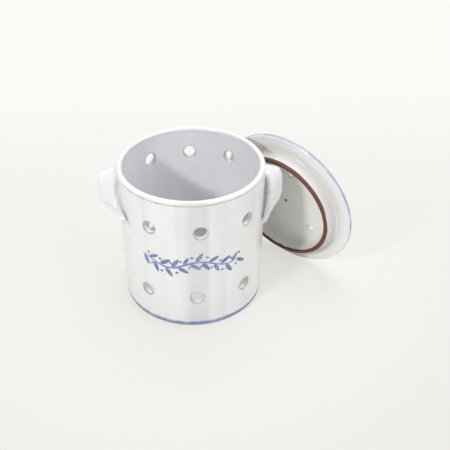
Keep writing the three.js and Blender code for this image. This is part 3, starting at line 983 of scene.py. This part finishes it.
knob = {
    "columns": 72,
    "baseRadius": 13.0,
    "neckRadius": 10.5,
    "headRadius": 18.0,
    "height": 29.0,
    "wall": 4.0,
    "flattening": 0.55,
    "undercut": -35.0,
    "neckShare": 0.4,
    "weld": 2.5,  # spread of the clay where it was luted on
    "seatDepth": 0.6,
    "spiralPitch": 4.5,  # of the rings left by the fingers
    "spiralDepth": 0.12,
    "slack": 0.25,  # how much slimmer it is than its plain profile
}


# Joins a turned shell's inner and outer rings at its base, and closes its poles
def closeBase(mesh, rows, across):
    shape = bmesh.new()
    shape.from_mesh(mesh)
    shape.verts.ensure_lookup_table()
    last = (rows - 1) * across
    for i in range(across - 1):
        shape.faces.new([shape.verts[k] for k in (i, i + 1, last + i + 1, last + i)])
    shape.to_mesh(mesh)
    shape.free()
    closeUp(mesh)


def makeKnob():
    seat = lid["thickness"] + lid["rise"] - knob["seatDepth"]
    height = knob["height"] + knob["seatDepth"]
    middle = seat + height - knob["headRadius"] * knob["flattening"]
    neck = seat + (middle - seat) * knob["neckShare"]

    def head(radius, steps):
        shape = arc((0, 0), radius, knob["undercut"], 87, steps)
        return [(x, middle + y * knob["flattening"]) for x, y in shape]

    base, waist, wall = knob["baseRadius"], knob["neckRadius"], knob["wall"]
    outer = [(base + knob["weld"], seat), (base + 0.8, seat + 1.1), (base - 0.6, seat + 2.8)]
    outer += [(waist + 0.6, neck - 2.4), (waist, neck), (waist + 0.9, neck + 2.4)]
    outer += head(knob["headRadius"], 12)
    inner = head(knob["headRadius"] - wall, 9)[::-1] + [(waist - wall, neck), (base - wall, seat)]
    cell = 2 * math.pi / knob["columns"] / mm  # radians, as X is the angle here
    piece = flatSheet("thrown_knob", knob["columns"], cell, outer + inner, set())
    angle, r, z = pointsOf(piece.data).T
    spiral = np.sin(2 * math.pi * z / (knob["spiralPitch"] * mm) + angle) * smoothStep(r, 0.004, 0.012)
    r = r + (knob["spiralDepth"] * spiral - knob["slack"]) * mm
    setPoints(piece.data, np.stack([r * np.cos(angle), r * np.sin(angle), z], 1))
    closeBase(piece.data, len(outer + inner), knob["columns"] + 1)
    finishPiece(piece, knobFinish, "lid", ["lid_knob"], lidPlace())


makeKnob()
print("knob made")


sprig = {
    "middle": -95.0,  # degrees round the pot
    "height": 97.5,
    "span": 118.0,
    "wave": 5.0,
    "stemWidth": 1.9,
    "leaves": 17,
    "leafLength": 15.0,
    "leafWidth": 5.2,
    "leafAngle": 46.0,
    "leafGap": 1.2,  # between the stem's middle and a leaf
    "least": 0.82,  # size of the smallest and the largest, as a share
    "most": 1.08,
    "berryRadius": 1.9,
    "berryReach": 7.5,
    "lift": 0.07,  # of the painted film above the wall
    "sideCells": 3,
    "seed": 11,
}


# A flat brush stroke along X: its points are shares of length and width, and it is full in the middle
def strokeObject(name, length, width, start, cellsAlong):
    n = sprig["sideCells"]
    points, strokes, faces = [], [], []
    for i in range(cellsAlong + 1):
        t = i / cellsAlong
        half = width / 2 * math.sin(math.pi * t ** 0.8) ** 0.75 + 0.6
        for j in range(-n, n + 1):
            s = j / n
            points.append(((start + t * length) * mm, 0, s * half * mm))
            ends = min(t, 1 - t) * length / 1.2
            strokes.append(max(0, min(1, ends)) * (1 - abs(s) ** 3))
    for i in range(cellsAlong):
        for j in range(2 * n):
            a = i * (2 * n + 1) + j
            faces.append((a, a + 1, a + 2 * n + 2, a + 2 * n + 1))
    made = meshObject(name, points, faces)
    addAttribute(made.data, "stroke", "FLOAT", strokes)
    return made


# Leaves and berries along the stem, on either side in turn
def sprigTree():
    tree, given = newTree("Leafy sprig", [
        ("Stem", "Object"),
        ("Leaf", "Object"),
        ("Berry", "Object"),
        ("Leaves", "Int"),
        ("Leaf angle", "Float"),
        ("Seed", "Int"),
        ("Finish", "Material"),
    ])
    asDrawn = {"transform_space": "ORIGINAL"}
    stem = node(tree, "GeometryNodeObjectInfo", asDrawn, {"Object": (given, "Stem")})
    curve = node(tree, "GeometryNodeMeshToCurve", {}, {"Mesh": (given, "Geometry")})
    spots = node(tree, "GeometryNodeResampleCurve", {}, {
        "Curve": (curve, "Curve"),
        "Count": (given, "Leaves"),
    })
    tangent = node(tree, "GeometryNodeInputTangent")
    split = node(tree, "ShaderNodeSeparateXYZ", {}, {"Vector": (tangent, "Tangent")})
    slope = node(tree, "ShaderNodeMath", {"operation": "ARCTAN2"}, {0: (split, "Z"), 1: (split, "X")})
    index = node(tree, "GeometryNodeInputIndex")
    parity = node(tree, "ShaderNodeMath", {"operation": "MODULO", 1: 2.0}, {0: (index, "Index")})
    side = node(tree, "ShaderNodeMath", {
        "operation": "MULTIPLY_ADD",
        1: 2.0,
        2: -1.0,
    }, {0: (parity, "Value")})
    joined = node(tree, "GeometryNodeJoinGeometry", {}, {"Geometry": (stem, "Geometry")})
    for number, (socket, share, spread) in enumerate((("Leaf", 1.0, 0.14), ("Berry", -1.0, 0.2))):
        wander = node(tree, "FunctionNodeRandomValue", {
            "data_type": "FLOAT",
            2: 1 - spread,
            3: 1 + spread,
        }, {"Seed": (given, "Seed")})
        angle = node(tree, "ShaderNodeMath", {"operation": "MULTIPLY"}, {
            0: (given, "Leaf angle"),
            1: (wander, 1),
        })
        sign = node(tree, "ShaderNodeMath", {"operation": "MULTIPLY", 1: share}, {0: (side, "Value")})
        turn = node(tree, "ShaderNodeMath", {"operation": "MULTIPLY_ADD"}, {
            0: (angle, "Value"),
            1: (sign, "Value"),
            2: (slope, "Value"),
        })
        back = node(tree, "ShaderNodeMath", {"operation": "MULTIPLY", 1: -1.0}, {0: (turn, "Value")})
        euler = node(tree, "ShaderNodeCombineXYZ", {}, {"Y": (back, "Value")})
        brush = node(tree, "GeometryNodeObjectInfo", asDrawn, {"Object": (given, socket)})
        size = node(tree, "FunctionNodeRandomValue", {
            "data_type": "FLOAT",
            2: sprig["least"],
            3: sprig["most"],
            "ID": number + 7,
        }, {"Seed": (given, "Seed")})
        placed = node(tree, "GeometryNodeInstanceOnPoints", {}, {
            "Points": (spots, "Curve"),
            "Instance": (brush, "Geometry"),
            "Rotation": (euler, "Vector"),
            "Scale": (size, 1),
        })
        tree.links.new(placed.outputs["Instances"], joined.inputs["Geometry"])
    real = node(tree, "GeometryNodeRealizeInstances", {}, {"Geometry": (joined, "Geometry")})
    glazed = node(tree, "GeometryNodeSetMaterial", {}, {
        "Geometry": (real, "Geometry"),
        "Material": (given, "Finish"),
    })
    node(tree, "NodeGroupOutput", {}, {"Geometry": (glazed, "Geometry")})
    return tree


# Height of the wavy stem at a distance from its middle
def stemWave(x):
    return sprig["wave"] * np.sin(x / sprig["span"] * 3.2 * math.pi + 0.6)


def makeSprig():
    span, count = sprig["span"], 60
    xs = np.linspace(-span / 2, span / 2, count + 1)
    line = [(x * mm, 0, z * mm) for x, z in zip(xs, stemWave(xs))]
    piece = meshObject("painted_sprig", line, [], [(i, i + 1) for i in range(count)])
    stem = strokeObject("stem", span + 4, sprig["stemWidth"], -span / 2 - 2, 90)
    bent = pointsOf(stem.data)
    bent[:, 2] += stemWave(bent[:, 0] / mm) * mm
    setPoints(stem.data, bent)
    leaf = strokeObject("leaf", sprig["leafLength"], sprig["leafWidth"], sprig["leafGap"], 12)
    across = 2 * sprig["berryRadius"]
    berry = strokeObject("berry", across, across, sprig["berryReach"], 8)
    mesh = runTree(piece, sprigTree(), {
        "Stem": stem,
        "Leaf": leaf,
        "Berry": berry,
        "Leaves": sprig["leaves"],
        "Leaf angle": math.radians(sprig["leafAngle"]),
        "Seed": sprig["seed"],
        "Finish": sprigFinish,
    })
    for brush in (stem, leaf, berry):
        bpy.data.objects.remove(brush)
    x, y, z = pointsOf(mesh).T
    angle = math.radians(sprig["middle"]) + x / (pot["radius"] * mm)
    z = z + sprig["height"] * mm
    inward, down = thrownUnevenness(angle, z)
    radius = (pot["radius"] + sprig["lift"]) * mm - inward
    setPoints(mesh, np.stack([radius * np.cos(angle), radius * np.sin(angle), z - down], 1))
    for face in mesh.polygons:
        middle = face.center
        if face.normal.x * middle.x + face.normal.y * middle.y < 0:
            face.flip()
    finishPiece(piece, sprigFinish, "pot", [], levels=0)


makeSprig()
print("sprig painted")


floorLook = {
    # painted light: the paper is darker near the camera and lighter further back
    "near": "eae9e3",
    "far": "fcfbf8",
    "nearPlace": -0.25,  # Y of the two colours
    "farPlace": 0.6,
    "shadowShare": 0.3,  # how much of the real shade the camera sees on the floor beside the object
    "shadowNear": 0.22,  # distance up to which it sees that much, and from which it sees none
    "shadowFar": 0.55,
    "surface": "f0efeb",
    "reach": 4.0,
}

light = {
    "aim": (0.04, 0.02, 0.08),
    "keyPlace": (-0.825, -0.885, 0.9),
    "keySize": 0.15,
    "keyPower": 9.4,
    "fillPlace": (0.95, -0.55, 1.0),
    "fillSize": 1.6,
    "fillPower": 9.8,
    "topPlace": (0.1, 0.5, 1.7),
    "topSize": 1.6,
    "topPower": 19.6,
    "room": 0.19,
}

camera = {
    "place": (-0.0219, -0.7250, 0.6218),
    "turn": (53.796, -0.249, -4.818),  # degrees
    "lens": 56.0,
    "sensor": 36.0,
}


# What only the camera, gloss and glass see of a surface, instead of its lit side
def seenDirectly(tree):
    path = node(tree, "ShaderNodeLightPath")
    seen = path, "Is Camera Ray"
    for ray in ("Is Glossy Ray", "Is Transmission Ray"):
        seen = node(tree, "ShaderNodeMath", {"operation": "MAXIMUM"}, {0: seen, 1: (path, ray)}), "Value"
    return seen


# Pale seamless paper: its colour is painted light, darker near the camera and lighter further back,
# and it shows part of the shade that falls on it
def makeFloor():
    material = newMaterial("Pale seamless paper")
    tree = material.node_tree
    place = node(tree, "ShaderNodeTexCoord")
    split = node(tree, "ShaderNodeSeparateXYZ", {}, {"Vector": (place, "Object")})
    share = ramps(tree, ((split, "Y"), floorLook["nearPlace"], floorLook["farPlace"]))
    colour = node(tree, "ShaderNodeMix", {
        "data_type": "RGBA",
        6: linear(floorLook["near"]),
        7: linear(floorLook["far"]),
    }, {0: share})
    glow = node(tree, "ShaderNodeEmission", {"Strength": 1.0}, {"Color": (colour, 2)})
    lit = node(tree, "ShaderNodeBsdfDiffuse", {"Color": linear(floorLook["surface"])})
    away = node(tree, "ShaderNodeVectorMath", {"operation": "LENGTH"}, {0: (place, "Object")})
    near, far = floorLook["shadowNear"], floorLook["shadowFar"]
    hidden = ramps(tree, ((away, "Value"), near, far, 1 - floorLook["shadowShare"], 1))
    shade = node(tree, "ShaderNodeMath", {"operation": "MULTIPLY"}, {0: seenDirectly(tree), 1: hidden})
    mixed = node(tree, "ShaderNodeMixShader", {}, {
        0: (shade, "Value"),
        1: (lit, "BSDF"),
        2: (glow, "Emission"),
    })
    node(tree, "ShaderNodeOutputMaterial", {}, {"Surface": (mixed, "Shader")})
    reach = floorLook["reach"]
    corners = [(-reach, -reach, 0), (reach, -reach, 0), (reach, reach, 0), (-reach, reach, 0)]
    floor = meshObject("floor", corners, [(0, 1, 2, 3)])
    floor.data.materials.append(material)


def addLamp(name, place, size, power):
    lamp = bpy.data.lights.new(name, "AREA")
    lamp.shape = "DISK"
    lamp.size = size
    lamp.energy = power
    made = addObject(name, lamp)
    made.location = place
    made.rotation_euler = (Vector(light["aim"]) - Vector(place)).to_track_quat("-Z", "Y").to_euler()


def lightRoom():
    for name in ("key", "fill", "top"):
        addLamp(name, light[name + "Place"], light[name + "Size"], light[name + "Power"])
    world = bpy.data.worlds.new("Pale room")
    bpy.context.scene.world = world
    world.use_nodes = True
    tree = world.node_tree
    tree.nodes.clear()
    room = node(tree, "ShaderNodeBackground", {"Color": (1, 1, 1, 1), "Strength": light["room"]})
    backdrop = node(tree, "ShaderNodeBackground", {"Color": linear(floorLook["far"]), "Strength": 1.0})
    mixed = node(tree, "ShaderNodeMixShader", {}, {
        0: seenDirectly(tree),
        1: (room, "Background"),
        2: (backdrop, "Background"),
    })
    node(tree, "ShaderNodeOutputWorld", {}, {"Surface": (mixed, "Shader")})


def placeCamera():
    data = bpy.data.cameras.new("camera")
    data.lens = camera["lens"]
    data.sensor_width = camera["sensor"]
    made = addObject("camera", data)
    made.location = camera["place"]
    made.rotation_euler = [math.radians(a) for a in camera["turn"]]
    bpy.context.scene.camera = made


makeFloor()
lightRoom()
placeCamera()
bpy.context.scene.view_settings.view_transform = "Standard"
print("room and camera set")
